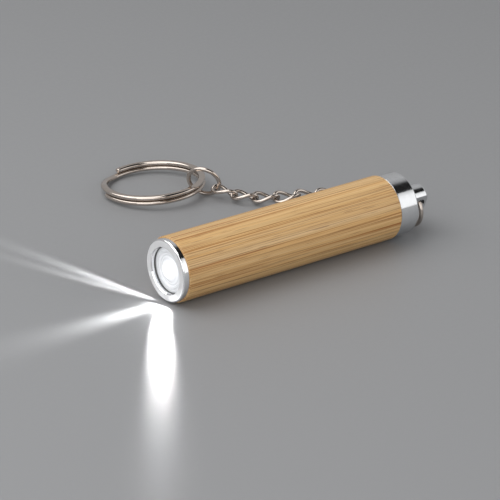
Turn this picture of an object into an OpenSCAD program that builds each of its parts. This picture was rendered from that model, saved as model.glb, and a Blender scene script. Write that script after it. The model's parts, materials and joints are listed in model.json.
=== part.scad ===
// Keychain flashlight: bamboo barrel, twist tail cap, curb chain and split ring.
// The torch axis is X and the light leaves along +X. The origin is the middle of the barrel.

/* [Barrel] */
// outside diameter of the bamboo barrel, mm
barrel_d = 15; // [12:0.5:20]
// length of the bamboo barrel, mm
barrel_l = 59; // [54:0.5:75]
// radial wall of the bamboo, mm
bamboo_wall = 1.15; // [0.8:0.05:1.6]
// radial wall of the metal tube that lines the barrel, mm
tube_wall = 0.7; // [0.5:0.05:1]

/* [Head] */
// thickness of the bezel in front of the barrel, mm
bezel_t = 1.4; // [1:0.1:3]
// how far the metal ends sit below the bamboo surface, mm
metal_step = 0.3; // [0.1:0.05:0.6]
// diameter of the light opening, mm
aperture_d = 10.4; // [9.4:0.1:10.6]
// diameter of the LED's body, mm
led_d = 5; // [3:0.5:5]

/* [Tail cap] */
// length of the cap behind the barrel, mm
cap_l = 5.3; // [4.8:0.1:9]
// diameter of the eye stub, mm
nub_d = 6.2; // [5.6:0.1:7]
// length of the eye stub, mm
nub_l = 6.2; // [5.8:0.1:9]
// thickness of the eye stub between its flats, mm
nub_flats = 4.4; // [3.6:0.1:4.6]
// diameter of the cross hole for the ring, mm
eye_d = 2.3; // [2.2:0.05:2.8]
// how far the cross hole leans from level, degrees
eye_tilt = 22; // [0:1:40]
// pitch of the cap's thread, mm
thread_pitch = 1; // [0.75:0.05:1.25]

/* [Chain and rings] */
// thickness of the chain and jump ring wire, mm
wire_d = 1; // [0.8:0.05:1]
// distance from one chain link to the next, mm
link_pitch = 5; // [4.6:0.1:5.5]
// width inside a chain link, mm
link_inner_w = 2.7; // [2.5:0.05:3.2]
// outside diameter of the two jump rings, mm
jump_d = 8.6; // [8.6:0.1:9.5]
// outside diameter of the split ring, mm
split_d = 25; // [22:0.5:32]
// radial width of the split ring's wire, mm
split_w = 1.7; // [1.4:0.1:2]
// thickness of one turn of the split ring, mm
split_t = 1.15; // [0.8:0.05:1.2]

/* [Hidden] */
$fn = 96;

// clearances
slip = 0.05;
wire_gap = 0.08;
snug = 0.03;

// barrel
barrel_r = barrel_d / 2;
tube_r = barrel_r - bamboo_wall - slip;
bore_r = tube_r - tube_wall;
metal_r = barrel_r - metal_step;
front_x = barrel_l / 2;
rear_x = -barrel_l / 2;
edge_c = 0.2;

// head, from the front backwards
bezel_front_x = front_x + bezel_t;
lip_t = 0.7;
tube_front_x = bezel_front_x - lip_t - slip;
aperture_r = aperture_d / 2;
gasket_r = 0.25;
gasket_x = bezel_front_x - lip_t - slip - gasket_r;
lens_t = 1;
lens_front_x = gasket_x - gasket_r - slip;
lens_r = bore_r - slip;
reflector_front_x = lens_front_x - lens_t - slip;
reflector_l = 8.4;
reflector_rear_x = reflector_front_x - reflector_l;
led_r = led_d / 2;
led_flange_r = led_r + 0.4;
led_flange_t = 1;
led_l = 8.6;
led_rear_x = reflector_rear_x - slip - led_flange_t;
die_x = led_rear_x + 5.2;
board_r = bore_r - 0.75;
board_t = 1;
board_x = led_rear_x - 2.4;
contact_l = 1;
holder_front_x = reflector_rear_x - slip;
holder_rear_x = board_x - 0.9;

// one AAA cell
cell_r = 5.25;
cell_l = 44.5;
cell_front_x = board_x - contact_l - slip;
cell_rear_x = cell_front_x - cell_l;
jacket_t = 0.15;
cell_nub_l = 1;

// tail, from the barrel backwards
cap_front_x = rear_x - 0.12;
cap_rear_x = rear_x - cap_l;
cap_wall = 1.15;
cap_floor_x = cap_rear_x + cap_wall;
neck_r = tube_r - 0.17;
neck_root_r = neck_r - 0.22;
cap_bore_r = neck_r + 0.07;
washer_t = 0.4;
washer_x = cap_floor_x + 0.01;
neck_rear_x = washer_x + washer_t + slip;
o_ring_r = 0.3;
o_ring_x = rear_x - 0.18 - o_ring_r;
mouth_r = neck_r + 2 * o_ring_r + 0.03;
mouth_l = 0.85;
spring_wire = 0.8;
spring_turns = 2.5;
eye_to_end = 1.8;
eye_x = cap_rear_x - nub_l + eye_to_end;

// jump ring in the eye: it hangs, square to the cross hole
jump_r = (jump_d - wire_d) / 2;
eye_play = eye_d / 2 - wire_d / 2 - 0.2;
tail_ring_c = [eye_x, -(jump_r - eye_play) * sin(eye_tilt), -(jump_r - eye_play) * cos(eye_tilt)];

// chain: the first two links drop from the hanging ring, and the others lie on the floor
floor_z = -barrel_r;
floor_gap = 0.12;
link_half = (link_pitch + wire_d + wire_gap) / 2;
link_half_w = (link_inner_w + wire_d) / 2;
link_twist = -45;
hang_angle = 18;
hook_r = jump_r - wire_d - wire_gap;
chain_start = tail_ring_c - hook_r * [0, cos(hang_angle), sin(hang_angle)];
link_rest_z = floor_z + floor_gap + wire_d / 2 + 0.5 * link_half_w;
drop = chain_start[2] - link_rest_z;
// headings, rolls and slopes of the links in degrees, the first link at the torch
link_yaw = [-94, -89, -75, -56, -38, -26, -25, -37, -52, -61];
link_roll = [-36, -22, -12, -4, 0, 0, 0, 6, 12, 18];
link_slope = [-asin(0.8 * drop / (2 * link_half)), -asin(0.3 * drop / (2 * link_half)),
              0, 0, 0, 0, 0, 0, 2, 8];

// jump ring and split ring at the key end
key_yaw = -54;
key_lean = 20;

function unit(v) = v / norm(v);
function heading(i) = [cos(link_slope[i]) * cos(link_yaw[i]),
                       cos(link_slope[i]) * sin(link_yaw[i]),
                       sin(link_slope[i])];
// where two bows hook into each other, the second link starts one wire behind the first one's end
function link_start(i) = i == 0 ? chain_start
    : link_start(i - 1) + 2 * link_half * heading(i - 1)
      - (wire_d + wire_gap) * unit(heading(i - 1) + heading(i));
last = len(link_yaw) - 1;
chain_end = link_start(last) + 2 * link_half * heading(last);

// axes of the key jump ring: along the chain, and up in its leaning plane
key_along = [cos(key_yaw), sin(key_yaw), 0];
key_side = [-sin(key_yaw), cos(key_yaw), 0];
key_up = [0, 0, cos(key_lean)] + sin(key_lean) * key_side;
// the ring stands on the floor, so the chain takes it by a point below its middle
key_rise = floor_z + floor_gap + wire_d / 2 + jump_r * cos(key_lean) - chain_end[2];
key_dip = asin(key_rise / (hook_r * cos(key_lean)));
key_ring_c = chain_end + hook_r * (cos(key_dip) * key_along + sin(key_dip) * key_up);

// the split ring lies in the key jump ring, on its wire, and on the floor at its far side
split_gap = 0.06;
split_h = 2 * split_t + split_gap;
split_mid_r = (split_d - split_w) / 2;
seat_r = jump_r - wire_d / 2 - norm([split_w, split_h]) / 2;
seat_angle = 49.4;
split_hook = key_ring_c + seat_r * (cos(seat_angle) * key_along - sin(seat_angle) * key_up);
split_tilt = asin((split_hook[2] - floor_z - floor_gap - split_h / 2)
                  / (2 * split_mid_r + split_w / 2));
split_out = [cos(split_tilt) * cos(key_yaw), cos(split_tilt) * sin(key_yaw), -sin(split_tilt)];
split_c = split_hook + split_mid_r * split_out;

// ---- helpers ----

// turns a profile of [x, radius] points about the torch axis
module turned(points) {
    rotate([90, 0, 90])
        rotate_extrude()
            polygon([for (p = points) [p[1], p[0]]]);
}

module rod(x0, x1, r) {
    translate([x0, 0, 0])
        rotate([0, 90, 0])
            cylinder(r = r, h = x1 - x0);
}

module tube(x0, x1, r_out, r_in) {
    turned([[x0, r_in], [x1, r_in], [x1, r_out], [x0, r_out]]);
}

module ring(ring_r, wire_r) {
    rotate_extrude()
        translate([ring_r, 0])
            circle(r = wire_r, $fn = 48);
}

// skin over rings of points; a closed path joins its last ring to its first
module skin(rings, closed) {
    n = len(rings);
    m = len(rings[0]);
    bands = closed ? n : n - 1;
    sides = [for (i = [0 : bands - 1]) for (j = [0 : m - 1])
        [i * m + j, i * m + (j + 1) % m, ((i + 1) % n) * m + (j + 1) % m, ((i + 1) % n) * m + j]];
    triangles = [for (q = sides) each [[q[0], q[2], q[1]], [q[0], q[3], q[2]]]];
    caps = closed ? [] : [[for (j = [0 : m - 1]) j], [for (j = [m - 1 : -1 : 0]) (n - 1) * m + j]];
    polyhedron(points = [for (r = rings) each r], faces = concat(triangles, caps));
}

// ---- twisted chain link ----

path_steps = 28;
wire_steps = 8;

// flat oval of the link: position along it and across it, for a share s of the way round
link_straight = link_half - link_half_w;
function oval(s) = let (t = 360 * s, c = cos(t), d = sin(t))
    [link_straight * (c > 0 ? 1 : -1) * pow(abs(c), 0.6) + link_half_w * c, link_half_w * d];
function link_point(s) = let (p = oval(s), a = link_twist * p[0] / link_half)
    [p[0], p[1] * cos(a), p[1] * sin(a)];
function link_ring(s) =
    let (c = link_point(s),
         a = link_twist * c[0] / link_half,
         t = unit(link_point(s + 0.004) - link_point(s - 0.004)),
         u = unit(cross(t, [0, -sin(a), cos(a)])),
         v = cross(u, t))
    [for (k = [0 : wire_steps - 1]) let (b = 360 * (k + 0.5) / wire_steps)
        c + wire_d / 2 * (cos(b) * u + sin(b) * v)];

module chain_link(i) {
    color([0.72, 0.70, 0.67])
        translate(link_start(i) + link_half * heading(i))
            rotate([link_roll[i], -link_slope[i], link_yaw[i]])
                skin([for (k = [0 : path_steps - 1]) link_ring((k + 0.5) / path_steps)], true);
}

// ---- barrel and head ----

module bamboo_barrel() {
    color([0.80, 0.64, 0.40])
        turned([[rear_x, tube_r + slip], [front_x, tube_r + slip],
                [front_x, barrel_r - edge_c], [front_x - edge_c, barrel_r],
                [rear_x + edge_c, barrel_r], [rear_x, barrel_r - edge_c]]);
}

module battery_tube() {
    ridges = 2;
    ridge_x = neck_rear_x + 0.3;
    color([0.78, 0.79, 0.80])
        turned(concat(
            [[neck_rear_x, bore_r], [tube_front_x, bore_r], [tube_front_x, tube_r],
             [rear_x, tube_r], [rear_x, neck_r], [rear_x - 1.2, neck_r],
             [rear_x - 1.2, neck_root_r]],
            [for (k = [ridges - 1 : -1 : 0]) let (x = ridge_x + k * thread_pitch) each
                [[x + 0.65, neck_root_r], [x + 0.45, neck_r], [x + 0.2, neck_r], [x, neck_root_r]]],
            [[neck_rear_x, neck_root_r]]));
}

module front_bezel() {
    x = bezel_front_x;
    round_r = 0.5;
    arc = [for (a = [0 : 15 : 90])
        [x - round_r + round_r * sin(a), metal_r - round_r + round_r * cos(a)]];
    color([0.86, 0.87, 0.88])
        turned(concat(
            [[front_x + 0.05, tube_r + snug], [x - lip_t, tube_r + snug],
             [x - lip_t, aperture_r], [x - 0.25, aperture_r], [x, aperture_r + 0.25]],
            [for (k = [len(arc) - 1 : -1 : 0]) arc[k]],
            [[front_x + 0.05, metal_r]]));
}

module lens_gasket() {
    color([0.1, 0.1, 0.1])
        translate([gasket_x, 0, 0])
            rotate([0, 90, 0])
                ring(bore_r - gasket_r - 0.02, gasket_r);
}

// clear moulded lens: a flat rim, a low ridge and a domed middle
module front_lens() {
    x = lens_front_x;
    ridge_r = 4.1;
    ridge_h = 0.3;
    dome_r = 3;
    dome_h = 1.1;
    sphere_r = (dome_r * dome_r + dome_h * dome_h) / (2 * dome_h);
    edge_a = asin(dome_r / sphere_r);
    dome = [for (a = [0 : edge_a / 8 : edge_a])
        [x + dome_h - sphere_r + sphere_r * cos(a), sphere_r * sin(a)]];
    color([0.92, 0.95, 0.97, 0.5])
        turned(concat([[x - lens_t, 0]], dome,
            [[x, ridge_r - 0.4], [x + ridge_h, ridge_r - 0.15], [x + ridge_h, ridge_r + 0.15],
             [x, ridge_r + 0.4], [x, lens_r], [x - lens_t, lens_r]]));
}

module reflector() {
    x = reflector_front_x;
    color([0.93, 0.93, 0.92])
        turned([[reflector_rear_x, led_r + slip], [x - 6.2, led_r + slip],
                [x - 4.6, 3.1], [x - 4.6, 3.5], [x - 2.9, 3.9], [x - 2.9, 4.2],
                [x - 1.3, 4.55], [x - 1.3, 4.8], [x, 5.05], [x, lens_r],
                [reflector_rear_x, lens_r]]);
}

module led_dome() {
    color([0.95, 0.97, 1, 0.6])
        difference() {
            union() {
                rod(led_rear_x, led_rear_x + led_flange_t, led_flange_r);
                rod(led_rear_x + led_flange_t / 2, led_rear_x + led_l - led_r, led_r);
                translate([led_rear_x + led_l - led_r, 0, 0])
                    sphere(r = led_r);
            }
            rod(die_x - 0.05, die_x + 0.65, 0.85);
        }
}

module led_die() {
    color([1, 0.95, 0.6])
        rod(die_x, die_x + 0.6, 0.8);
}

module led_lead(y) {
    color([0.8, 0.8, 0.8])
        translate([board_x + board_t + slip, y - 0.25, -0.25])
            cube([led_rear_x - board_x - board_t - 2 * slip, 0.5, 0.5]);
}

module led_lead_anode() {
    led_lead(1.27);
}

module led_lead_cathode() {
    led_lead(-1.27);
}

module board_holder() {
    color([0.15, 0.15, 0.16])
        turned([[holder_rear_x, board_r - 1.2], [board_x - slip, board_r - 1.2],
                [board_x - slip, board_r + slip], [holder_front_x, board_r + slip],
                [holder_front_x, lens_r], [holder_rear_x, lens_r]]);
}

module driver_board() {
    color([0.1, 0.4, 0.25])
        rod(board_x, board_x + board_t, board_r);
}

module driver_chip() {
    color([0.08, 0.08, 0.08])
        translate([board_x + board_t + 0.02, -1.5, 2])
            cube([0.9, 3, 1.6]);
}

module driver_inductor() {
    color([0.2, 0.2, 0.22])
        translate([board_x + board_t + 0.02, 0, -2.9])
            rotate([0, 90, 0])
                cylinder(r = 1.4, h = 1.2);
}

module front_contact() {
    color([0.83, 0.68, 0.35])
        rod(board_x - contact_l, board_x - 0.01, 1.5);
}

// ---- cell ----

module cell_can() {
    x = cell_front_x - cell_nub_l;
    color([0.75, 0.76, 0.77])
        rod(cell_rear_x, x, cell_r - jacket_t - 0.01);
}

module cell_jacket() {
    x = cell_front_x - cell_nub_l;
    color([0.16, 0.30, 0.45])
        tube(cell_rear_x + 0.3, x, cell_r, cell_r - jacket_t);
}

module cell_seal() {
    x = cell_front_x - cell_nub_l;
    color([0.2, 0.2, 0.2])
        tube(x + 0.01, x + 0.3, 4.6, 2.2);
}

module cell_positive_cap() {
    x = cell_front_x - cell_nub_l;
    color([0.8, 0.81, 0.82])
        rod(x + 0.01, cell_front_x, 1.9);
}

// ---- tail ----

module contact_spring() {
    x0 = washer_x + washer_t + 0.02 + spring_wire / 2;
    x1 = cell_rear_x - 0.02 - spring_wire / 2;
    steps = 20;
    n = spring_turns * steps;
    function coil(i) = let (k = i / n, a = 360 * i / steps, r = 4.2 - 1.3 * k)
        [x0 + (x1 - x0) * k, r * cos(a), r * sin(a)];
    function coil_ring(i) =
        let (t = unit(coil(i + 0.1) - coil(i - 0.1)),
             u = unit(cross(t, [1, 0, 0])),
             v = cross(u, t))
        [for (k = [0 : 7]) coil(i) + spring_wire / 2 * (cos(45 * k) * u + sin(45 * k) * v)];
    color([0.7, 0.71, 0.72])
        skin([for (i = [0 : n]) coil_ring(i)], false);
}

module contact_washer() {
    color([0.83, 0.68, 0.35])
        tube(washer_x, washer_x + washer_t, neck_root_r, 1.5);
}

module tail_o_ring() {
    color([0.08, 0.08, 0.08])
        translate([o_ring_x, 0, 0])
            rotate([0, 90, 0])
                ring(neck_r + o_ring_r + 0.01, o_ring_r);
}

module cap_body() {
    chamfer = 0.5;
    turned([[cap_front_x, mouth_r], [cap_front_x, metal_r - 0.1], [cap_front_x - 0.1, metal_r],
            [cap_rear_x + chamfer, metal_r], [cap_rear_x, metal_r - chamfer],
            [cap_rear_x, 0], [cap_floor_x, 0], [cap_floor_x, cap_bore_r],
            [cap_front_x - mouth_l, cap_bore_r], [cap_front_x - mouth_l, mouth_r]]);
}

module eye_stub() {
    r = nub_d / 2;
    end_x = cap_rear_x - nub_l;
    round_r = 0.8;
    arc = [for (a = [0 : 15 : 90])
        [end_x + round_r - round_r * sin(a), r - round_r + round_r * cos(a)]];
    difference() {
        turned(concat([[cap_rear_x + 0.3, 0], [cap_rear_x + 0.3, r - 0.45],
                       [cap_rear_x - 0.5, r - 0.45], [cap_rear_x - 0.8, r]],
                      arc, [[end_x, 0]]));
        rotate([-eye_tilt, 0, 0]) {
            for (side = [-1, 1])
                translate([end_x - 1, side > 0 ? nub_flats / 2 : -nub_flats / 2 - 5, -5])
                    cube([nub_l - 0.2, 5, 10]);
            translate([eye_x, 0, 0])
                rotate([90, 0, 0])
                    cylinder(d = eye_d, h = 10, center = true);
        }
    }
}

module tail_cap() {
    color([0.85, 0.86, 0.87])
        union() {
            cap_body();
            eye_stub();
        }
}

// ---- rings ----

module tail_jump_ring() {
    color([0.74, 0.72, 0.69])
        translate(tail_ring_c)
            rotate([0, 90, 0])
                ring(jump_r, wire_d / 2);
}

module chain_link_01() {
    chain_link(0);
}

module chain_link_02() {
    chain_link(1);
}

module chain_link_03() {
    chain_link(2);
}

module chain_link_04() {
    chain_link(3);
}

module chain_link_05() {
    chain_link(4);
}

module chain_link_06() {
    chain_link(5);
}

module chain_link_07() {
    chain_link(6);
}

module chain_link_08() {
    chain_link(7);
}

module chain_link_09() {
    chain_link(8);
}

module chain_link_10() {
    chain_link(9);
}

module key_jump_ring() {
    color([0.74, 0.72, 0.69])
        translate(key_ring_c)
            rotate([0, 0, key_yaw])
                rotate([90 - key_lean, 0, 0])
                    ring(jump_r, wire_d / 2);
}

// two turns of flat wire: each is level except for the ramp between them
module split_ring() {
    steps = 44;
    ramp = 44;
    overlap = 9;
    start = 8;
    r0 = split_mid_r;
    c = 0.36;
    half = [split_w / 2, split_t / 2];
    function rise(a) = a < 360 - ramp / 2 ? 0 : a > 360 + ramp / 2 ? 1 : (a - 360 + ramp / 2) / ramp;
    function wire(a) = let (k = rise(a), z = (split_t + split_gap) * (k - 0.5), b = a + start)
        [for (p = [[-half[0] + c, -half[1]], [half[0] - c, -half[1]], [half[0], -half[1] + c],
                   [half[0], half[1] - c], [half[0] - c, half[1]], [-half[0] + c, half[1]],
                   [-half[0], half[1] - c], [-half[0], -half[1] + c]])
            [(r0 + p[0]) * cos(b), (r0 + p[0]) * sin(b), p[1] + z]];
    from = ramp / 2 + overlap;
    to = 720 - ramp / 2 - overlap;
    color([0.76, 0.74, 0.71])
        translate(split_c)
            rotate([0, split_tilt, key_yaw])
                skin([for (i = [0 : 2 * steps]) wire(from + (to - from) * i / (2 * steps))], false);
}

// ---- nodes ----

bamboo_barrel();
battery_tube();
front_bezel();
lens_gasket();
front_lens();
reflector();
led_dome();
led_die();
led_lead_anode();
led_lead_cathode();
board_holder();
driver_board();
driver_chip();
driver_inductor();
front_contact();
cell_can();
cell_jacket();
cell_seal();
cell_positive_cap();
contact_spring();
contact_washer();
tail_o_ring();
tail_cap();
tail_jump_ring();
chain_link_01();
chain_link_02();
chain_link_03();
chain_link_04();
chain_link_05();
chain_link_06();
chain_link_07();
chain_link_08();
chain_link_09();
chain_link_10();
key_jump_ring();
split_ring();
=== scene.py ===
"""Looks for the keychain flashlight: a bamboo barrel with chrome ends, a curb chain and a split ring.
Lengths are metres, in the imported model's frame: the torch axis is X and the light leaves along +X."""

import json
import math

import bmesh
import bpy
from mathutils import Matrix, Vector

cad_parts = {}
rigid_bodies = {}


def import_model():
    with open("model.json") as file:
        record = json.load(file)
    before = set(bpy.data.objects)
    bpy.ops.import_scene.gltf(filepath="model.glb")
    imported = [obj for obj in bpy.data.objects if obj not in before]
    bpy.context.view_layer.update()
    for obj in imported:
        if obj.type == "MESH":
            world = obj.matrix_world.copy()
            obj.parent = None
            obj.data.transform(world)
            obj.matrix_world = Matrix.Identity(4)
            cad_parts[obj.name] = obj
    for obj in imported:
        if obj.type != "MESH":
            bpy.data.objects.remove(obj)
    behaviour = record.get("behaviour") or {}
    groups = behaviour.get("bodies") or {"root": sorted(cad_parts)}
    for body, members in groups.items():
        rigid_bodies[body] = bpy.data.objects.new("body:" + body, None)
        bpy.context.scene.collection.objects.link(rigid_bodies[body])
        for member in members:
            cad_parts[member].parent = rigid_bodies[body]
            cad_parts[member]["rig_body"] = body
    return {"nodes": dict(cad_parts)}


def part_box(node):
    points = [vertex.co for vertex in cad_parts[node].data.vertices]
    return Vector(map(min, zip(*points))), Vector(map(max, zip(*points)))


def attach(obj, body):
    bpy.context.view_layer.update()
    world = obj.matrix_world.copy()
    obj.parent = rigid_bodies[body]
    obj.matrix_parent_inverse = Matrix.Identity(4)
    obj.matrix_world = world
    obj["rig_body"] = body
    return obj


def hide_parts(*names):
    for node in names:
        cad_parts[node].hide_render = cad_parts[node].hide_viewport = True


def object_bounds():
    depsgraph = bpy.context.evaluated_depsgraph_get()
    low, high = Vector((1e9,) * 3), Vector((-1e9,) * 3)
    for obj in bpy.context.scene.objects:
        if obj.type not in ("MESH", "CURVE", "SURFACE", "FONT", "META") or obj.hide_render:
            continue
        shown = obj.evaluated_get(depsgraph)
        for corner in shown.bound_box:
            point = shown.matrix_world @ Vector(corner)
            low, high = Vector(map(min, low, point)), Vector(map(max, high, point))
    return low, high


MM = 0.001

# the photograph's view, angles in degrees
CAMERA_AZIMUTH = 143.35
CAMERA_ELEVATION = 23.4
CAMERA_DISTANCE = 0.7103
CAMERA_AIM = Vector((0.0057, -0.0029, -0.0025))
CAMERA_LENS_MM = 229.6
SENSOR_MM = 36

# the radius over which the lens's painted rings of light are spread
LENS_RADIUS = 5.5 * MM
# the dark part of the ceiling lies round this direction, tipped a little towards the camera's side
CEILING_AXIS = (0, 0.26, 0.966)
# edges sharper than this stay sharp, degrees
SHARP_ANGLE = 35
# how often the wire of the chain, split ring and spring is subdivided
WIRE_LEVELS = 2
# widths of the rounded edges
CAP_EDGE = 0.12 * MM
BARREL_EDGE = 0.08 * MM
# half-width of the floor, and its distance below the lowest piece
FLOOR_HALF = 3.0
FLOOR_GAP = 0.05 * MM
# a beam's sheet of light: its height, its place in front of the bezel's foot, and how much it dips
BEAM_HEIGHT = 2.4 * MM
BEAM_AHEAD = 0.2 * MM
BEAM_RISE = 1.1 * MM
BEAM_DIP = 0.08

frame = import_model()
cad_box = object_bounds()
nodes = frame["nodes"]


# ---- material nodes ----

class Nodes:
    """A short way to write a material's node tree."""

    def __init__(self, name):
        self.material = bpy.data.materials.new(name)
        self.material.use_nodes = True
        self.tree = self.material.node_tree
        self.shader = self.tree.nodes["Principled BSDF"]
        self.place = self.add("ShaderNodeTexCoord").outputs["Object"]

    def add(self, kind, **settings):
        node = self.tree.nodes.new(kind)
        for key, value in settings.items():
            setattr(node, key, value)
        return node

    def feed(self, socket, value):
        if isinstance(value, bpy.types.NodeSocket):
            self.tree.links.new(value, socket)
        else:
            socket.default_value = value

    def stretched(self, scale, turn=(0, 0, 0)):
        mapping = self.add("ShaderNodeMapping")
        self.feed(mapping.inputs["Vector"], self.place)
        mapping.inputs["Scale"].default_value = scale
        mapping.inputs["Rotation"].default_value = turn
        return mapping.outputs["Vector"]

    def noise(self, scale, detail=3.0, rough=0.5, vector=None, distort=0.0):
        node = self.add("ShaderNodeTexNoise")
        self.feed(node.inputs["Vector"], vector or self.place)
        node.inputs["Scale"].default_value = scale
        node.inputs["Detail"].default_value = detail
        node.inputs["Roughness"].default_value = rough
        node.inputs["Distortion"].default_value = distort
        return node.outputs["Fac"]

    def ramp(self, fac, stops):
        node = self.add("ShaderNodeValToRGB")
        self.feed(node.inputs["Fac"], fac)
        while len(node.color_ramp.elements) < len(stops):
            node.color_ramp.elements.new(0.5)
        for element, (place, value) in zip(node.color_ramp.elements, stops):
            element.position = place
            element.color = (value, value, value, 1) if isinstance(value, (int, float)) else (*value, 1)
        return node.outputs["Color"]

    def mix(self, fac, a, b, blend="MIX"):
        node = self.add("ShaderNodeMix", data_type="RGBA", blend_type=blend)
        self.feed(node.inputs["Factor"], fac)
        self.feed(node.inputs["A"], a if isinstance(a, bpy.types.NodeSocket) else (*a, 1))
        self.feed(node.inputs["B"], b if isinstance(b, bpy.types.NodeSocket) else (*b, 1))
        return node.outputs["Result"]

    def bump(self, height, distance, strength=1.0, under=None):
        node = self.add("ShaderNodeBump")
        self.feed(node.inputs["Height"], height)
        node.inputs["Distance"].default_value = distance
        node.inputs["Strength"].default_value = strength
        if under is not None:
            self.feed(node.inputs["Normal"], under)
        return node.outputs["Normal"]

    def finish(self, **sockets):
        for name, value in sockets.items():
            socket = self.shader.inputs[name.replace("_", " ")]
            if isinstance(value, tuple) and len(value) == 3:
                value = (*value, 1)
            self.feed(socket, value)
        return self.material


def bamboo():
    """Lengthwise strips a few millimetres wide, darker streaks, fine fibres and short pores."""
    n = Nodes("bamboo")
    strips = n.noise(1.0, 2, 0.5, n.stretched((5, 430, 430)))
    streaks = n.noise(1.0, 3, 0.65, n.stretched((9, 2100, 2100)), 0.2)
    fibres = n.noise(1.0, 3, 0.65, n.stretched((28, 4600, 4600)))
    pores = n.noise(1.0, 1, 0.5, n.stretched((160, 5200, 5200)))
    tan = n.mix(n.ramp(strips, [(0.40, 0.0), (0.60, 1.0)]), (0.68, 0.40, 0.145), (0.65, 0.43, 0.20))
    honey = n.mix(n.ramp(streaks, [(0.36, 1.0), (0.47, 0.0)]), tan, (0.40, 0.165, 0.038))
    pale = n.mix(n.ramp(streaks, [(0.54, 0.0), (0.66, 0.80)]), honey, (0.74, 0.50, 0.25))
    lined = n.mix(n.ramp(fibres, [(0.36, 0.85), (0.47, 0.0)]), pale, (0.27, 0.11, 0.028))
    dotted = n.mix(n.ramp(pores, [(0.26, 0.6), (0.34, 0.0)]), lined, (0.24, 0.10, 0.03))
    relief = n.bump(fibres, 0.02 * MM, 0.5, n.bump(streaks, 0.03 * MM, 0.4))
    return n.finish(
        Base_Color=dotted,
        Roughness=n.ramp(fibres, [(0.3, 0.60), (0.7, 0.46)]),
        Normal=relief,
        Coat_Weight=0.10,
        Coat_Roughness=0.35,
    )


def plated(name, colour, rough, scratch=0.5, worn=0.0, satin_front=None):
    """Plated metal: a faint haze, fine scratches and a little relief from polishing.
    satin_front is how metallic the faces that look along +X stay; they are frosted, not mirrors."""
    n = Nodes(name)
    haze = n.noise(900, 4, 0.6)
    lines = n.noise(1.0, 2, 0.5, n.stretched((9000, 1200, 700), (0.4, 0.9, 0.3)))
    tint = n.mix(n.ramp(haze, [(0.35, 0.0), (0.7, 0.35)]), colour, tuple(0.86 * c for c in colour))
    low, high = rough
    marks = n.mix(0.5, n.ramp(haze, [(0.3, low), (0.75, high)]), n.ramp(lines, [(0.4, low), (0.8, high)]))
    metallic = 1.0
    if satin_front is not None:
        facing = n.add("ShaderNodeSeparateXYZ")
        n.feed(facing.inputs["Vector"], n.add("ShaderNodeTexCoord").outputs["Normal"])
        metallic = n.ramp(facing.outputs["X"], [(0.90, 1.0), (0.985, satin_front)])
    return n.finish(
        Base_Color=tint,
        Metallic=metallic,
        Roughness=marks,
        Normal=n.bump(lines, 0.004 * MM, scratch, n.bump(haze, 0.01 * MM, worn)),
    )


def moulded(name, colour, rough=0.45, coat=0.0):
    """Plastic, rubber or solder mask: a little mottling and a fine grain."""
    n = Nodes(name)
    grain = n.noise(5000, 2, 0.5)
    patch = n.noise(420, 3, 0.5)
    tint = n.mix(patch, colour, tuple(0.8 * c for c in colour))
    return n.finish(
        Base_Color=tint,
        Roughness=n.ramp(grain, [(0.3, rough - 0.08), (0.7, rough + 0.08)]),
        Normal=n.bump(grain, 0.01 * MM, 0.4),
        Coat_Weight=coat,
    )


def lens_painted_glare():
    """The clear lens with painted light: a painted white glare in the middle, then painted soft rings of
    light to the rim, standing in for the lit LED and reflector behind it.
    """
    n = Nodes("lens_clear")
    axes = n.add("ShaderNodeSeparateXYZ")
    n.feed(axes.inputs["Vector"], n.place)
    flat = n.add("ShaderNodeCombineXYZ")
    n.feed(flat.inputs["Y"], axes.outputs["Y"])
    n.feed(flat.inputs["Z"], axes.outputs["Z"])
    length = n.add("ShaderNodeVectorMath", operation="LENGTH")
    n.feed(length.inputs[0], flat.outputs["Vector"])
    share = n.add("ShaderNodeMath", operation="DIVIDE")
    n.feed(share.inputs[0], length.outputs["Value"])
    share.inputs[1].default_value = LENS_RADIUS
    smear = n.noise(700, 3, 0.5)
    return n.finish(
        Base_Color=n.mix(smear, (0.86, 0.87, 0.89), (0.80, 0.82, 0.85)),
        Roughness=n.ramp(smear, [(0.4, 0.05), (0.8, 0.12)]),
        Normal=n.bump(smear, 0.004 * MM, 0.3),
        Transmission_Weight=0.30,
        IOR=1.49,
        # painted light by radius: the glare and rings stand in for the lit LED and reflector seen through
        # the lens
        Emission_Color=n.ramp(share.outputs["Value"], [
            (0.0, 1.0), (0.22, 0.90), (0.33, 0.26), (0.48, 0.10), (0.56, 0.24), (0.61, 0.05), (0.67, 0.22),
            (0.73, 0.05), (0.80, 0.20), (1.0, 0.10)]),
        Emission_Strength=1.0,
    )


def glowing(name, colour, light, strength, **more):
    """A part that gives off light, which varies a little from place to place; on the LED this is its own
    light, on the reflector it is painted light.
    """
    n = Nodes(name)
    grain = n.noise(1500, 2, 0.5)
    return n.finish(
        Base_Color=n.mix(grain, colour, tuple(0.85 * c for c in colour)),
        Roughness=n.ramp(grain, [(0.3, 0.30), (0.7, 0.42)]),
        Emission_Color=n.mix(grain, light, tuple(0.8 * c for c in light)),
        Emission_Strength=strength,
        **more,
    )


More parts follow.
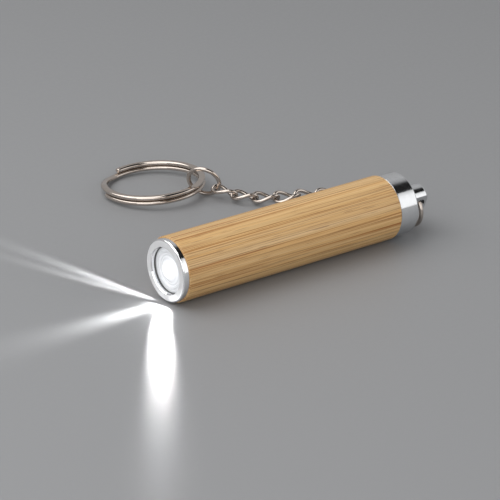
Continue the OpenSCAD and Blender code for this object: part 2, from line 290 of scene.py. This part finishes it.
chrome = plated("chrome_trim", (0.80, 0.81, 0.82), (0.08, 0.20), 0.25)
satin = plated("chrome_satin", (0.92, 0.92, 0.93), (0.08, 0.20), 0.15, satin_front=0.35)
nickel = plated("nickel_wire", (0.60, 0.53, 0.475), (0.08, 0.20), 0.4, 0.4)
aluminium = plated("tube_aluminium", (0.72, 0.73, 0.74), (0.25, 0.4), 0.6, 0.2)
steel = plated("cell_steel", (0.62, 0.62, 0.63), (0.2, 0.35), 0.6, 0.3)
tinned = plated("tinned_steel", (0.70, 0.70, 0.68), (0.25, 0.4), 0.3, 0.5)
brass = plated("contact_brass", (0.70, 0.50, 0.20), (0.2, 0.35), 0.5, 0.3)
rubber = moulded("seal_rubber", (0.10, 0.10, 0.10), 0.6)
black = moulded("black_plastic", (0.03, 0.03, 0.033), 0.5)
green = moulded("board_green", (0.02, 0.14, 0.06), 0.35, 0.4)
chip = moulded("chip_black", (0.015, 0.015, 0.015), 0.55)
jacket = moulded("cell_print", (0.03, 0.09, 0.2), 0.3, 0.5)
# the reflector's faint glow is painted light, standing in for the LED's light falling on it
silvered_painted_glow = glowing("reflector_satin", (0.86, 0.86, 0.85), (0.97, 0.98, 1.0), 0.06)
epoxy = glowing("led_epoxy", (0.97, 0.98, 1.0), (1.0, 0.99, 0.97), 0.35, Transmission_Weight=0.5, IOR=1.5)
phosphor = glowing("led_phosphor", (1.0, 0.9, 0.5), (1.0, 0.98, 0.94), 3.0)
wood = bamboo()

FINISH = {
    "bamboo_barrel": wood, "battery_tube": aluminium, "front_bezel": satin, "lens_gasket": rubber,
    "front_lens": lens_painted_glare(), "reflector": silvered_painted_glow, "led_dome": epoxy, "led_die": phosphor,
    "led_lead_anode": tinned, "led_lead_cathode": tinned, "board_holder": black, "driver_board": green,
    "driver_chip": chip, "driver_inductor": chip, "front_contact": brass, "cell_can": steel,
    "cell_jacket": jacket, "cell_seal": black, "cell_positive_cap": steel, "contact_spring": steel,
    "contact_washer": brass, "tail_o_ring": rubber, "tail_cap": chrome,
}
for name, node in nodes.items():
    finish = FINISH.get(name, nickel)
    node.data.materials.clear()
    node.data.materials.append(finish)


# ---- mesh helpers ----

def smooth(mesh):
    mesh.shade_smooth()
    mesh.set_sharp_from_angle(angle=math.radians(SHARP_ANGLE))


def rounded_copy(node):
    """A faceted CAD node as a smooth piece: its triangles go back to quads and are subdivided."""
    source = nodes[node]
    bm = bmesh.new()
    bm.from_mesh(source.data)
    bmesh.ops.remove_doubles(bm, verts=bm.verts, dist=1e-6)
    bmesh.ops.join_triangles(bm, faces=bm.faces, angle_face_threshold=math.radians(40),
                             angle_shape_threshold=math.pi)
    mesh = bpy.data.meshes.new(node + "_wire")
    bm.to_mesh(mesh)
    bm.free()
    mesh.materials.append(FINISH.get(node, nickel))
    mesh.shade_smooth()
    piece = bpy.data.objects.new(node + "_wire", mesh)
    bpy.context.scene.collection.objects.link(piece)
    subdivide = piece.modifiers.new("round", "SUBSURF")
    subdivide.levels = WIRE_LEVELS
    subdivide.render_levels = WIRE_LEVELS
    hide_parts(node)
    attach(piece, source["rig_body"])


def soften_edges(node, width):
    """Rounds a CAD node's sharp edges, after its triangles are merged so that the bevel is even."""
    piece = nodes[node]
    piece.modifiers.new("weld", "WELD").merge_threshold = 1e-6
    flatten = piece.modifiers.new("flatten", "DECIMATE")
    flatten.decimate_type = "DISSOLVE"
    flatten.angle_limit = math.radians(0.5)
    bevel = piece.modifiers.new("edges", "BEVEL")
    bevel.width = width
    bevel.segments = 3
    bevel.limit_method = "ANGLE"
    bevel.angle_limit = math.radians(40)


def even_shading(node):
    """Lets the large faces set the normals, so that cylinders reflect straight up to their edges."""
    shading = nodes[node].modifiers.new("shading", "WEIGHTED_NORMAL")
    shading.weight = 100
    shading.keep_sharp = True


faceted = [name for name in nodes if name.startswith("chain_link_")] + ["split_ring", "contact_spring"]
for name in faceted:
    rounded_copy(name)
for node in nodes.values():
    smooth(node.data)
soften_edges("tail_cap", CAP_EDGE)
soften_edges("bamboo_barrel", BARREL_EDGE)
for name in nodes:
    even_shading(name)


# ---- floor, light and camera ----

def stage_floor():
    bm = bmesh.new()
    bmesh.ops.create_grid(bm, x_segments=8, y_segments=8, size=FLOOR_HALF)
    mesh = bpy.data.meshes.new("floor")
    bm.to_mesh(mesh)
    bm.free()
    floor = bpy.data.objects.new("floor", mesh)
    bpy.context.scene.collection.objects.link(floor)
    floor.location.z = cad_box[0].z - FLOOR_GAP
    n = Nodes("floor_paper")
    tooth = n.noise(900, 3, 0.5)
    mesh.materials.append(n.finish(
        Base_Color=n.mix(tooth, (0.275, 0.278, 0.285), (0.295, 0.298, 0.305)),
        Roughness=n.ramp(tooth, [(0.3, 0.45), (0.7, 0.55)]),
        Normal=n.bump(tooth, 0.01 * MM, 0.1),
    ))


def studio_world():
    """A pale room with a dark ceiling, which the chrome shows as its black band."""
    world = bpy.data.worlds.new("studio")
    bpy.context.scene.world = world
    world.use_nodes = True
    tree = world.node_tree
    background = tree.nodes["Background"]
    place = tree.nodes.new("ShaderNodeTexCoord")
    height = tree.nodes.new("ShaderNodeVectorMath")
    height.operation = "DOT_PRODUCT"
    height.inputs[1].default_value = CEILING_AXIS
    ramp = tree.nodes.new("ShaderNodeValToRGB")
    tree.links.new(place.outputs["Generated"], height.inputs[0])
    tree.links.new(height.outputs["Value"], ramp.inputs["Fac"])
    stops = [(0.0, 0.40), (0.56, 0.46), (0.70, 0.36), (0.77, 0.010), (1.0, 0.010)]
    while len(ramp.color_ramp.elements) < len(stops):
        ramp.color_ramp.elements.new(0.5)
    for element, (place_z, value) in zip(ramp.color_ramp.elements, stops):
        element.position = place_z
        element.color = (value, value, 1.01 * value, 1)
    tree.links.new(ramp.outputs["Color"], background.inputs["Color"])
    background.inputs["Strength"].default_value = 1.0


def softbox(name, direction, distance, size, power):
    """A soft rectangular light that stands that way from the origin and faces it."""
    light = bpy.data.lights.new(name, "AREA")
    light.shape = "RECTANGLE"
    light.size, light.size_y = size
    light.energy = power
    lamp = bpy.data.objects.new(name, light)
    bpy.context.scene.collection.objects.link(lamp)
    towards = Vector(direction).normalized()
    lamp.location = towards * distance
    lamp.rotation_mode = "QUATERNION"
    lamp.rotation_quaternion = towards.to_track_quat("Z", "Y")


def make_camera():
    data = bpy.data.cameras.new("camera")
    data.lens = CAMERA_LENS_MM
    data.sensor_width = SENSOR_MM
    data.clip_start = 0.01
    camera = bpy.data.objects.new("camera", data)
    bpy.context.scene.collection.objects.link(camera)
    a, e = math.radians(CAMERA_AZIMUTH), math.radians(CAMERA_ELEVATION)
    back = Vector((math.sin(a) * math.cos(e), -math.cos(a) * math.cos(e), math.sin(e)))
    camera.location = CAMERA_AIM + back * CAMERA_DISTANCE
    camera.rotation_mode = "QUATERNION"
    camera.rotation_quaternion = back.to_track_quat("Z", "Y")
    bpy.context.scene.camera = camera


def beam(name, floor_direction, width, fan, power):
    """A flat sheet of light from the foot of the bezel, which lies as a streak on the floor that way."""
    light = bpy.data.lights.new(name, "AREA")
    light.shape = "ELLIPSE"
    light.size = width
    light.size_y = BEAM_HEIGHT
    light.spread = math.radians(fan)
    light.energy = power
    lamp = bpy.data.objects.new(name, light)
    bpy.context.scene.collection.objects.link(lamp)
    lamp.visible_camera = False
    low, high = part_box("front_bezel")
    along = Vector((*floor_direction, 0)).normalized()
    lamp.location = Vector((high.x + BEAM_AHEAD, 0, low.z + BEAM_RISE)) + 0.2 * width * along
    aim = along + Vector((0, 0, -BEAM_DIP))
    lamp.rotation_mode = "QUATERNION"
    lamp.rotation_quaternion = (-aim).to_track_quat("Z", "Y")


stage_floor()
studio_world()
# the chrome shows the key light as its white band; the other two only fill
softbox("key_softbox", (-0.548, 0.739, 0.393), 0.6, (0.8, 0.46), 0.85)
softbox("top_softbox", (0.45, -0.30, 1.0), 0.5, (0.60, 0.60), 2.3)
softbox("front_softbox", (0.62, 0.60, 0.45), 0.7, (0.80, 0.60), 2.0)
# each beam: its way along the floor, its width, its fan in degrees and its power
beam("beam_ahead", (1.0, -0.02), 4 * MM, 26, 0.0012)
beam("beam_far", (0.20, -0.97), 2.0 * MM, 8, 0.0006)
beam("beam_far_2", (0.32, -0.95), 2.0 * MM, 8, 0.00035)
beam("beam_near", (0.58, 0.81), 5.5 * MM, 10, 0.00045)
beam("beam_near_foot", (0.58, 0.81), 3.5 * MM, 16, 0.0003)
beam("beam_spill", (0.85, 0.20), 6 * MM, 150, 0.0009)
make_camera()
bpy.context.scene.view_settings.view_transform = "Standard"
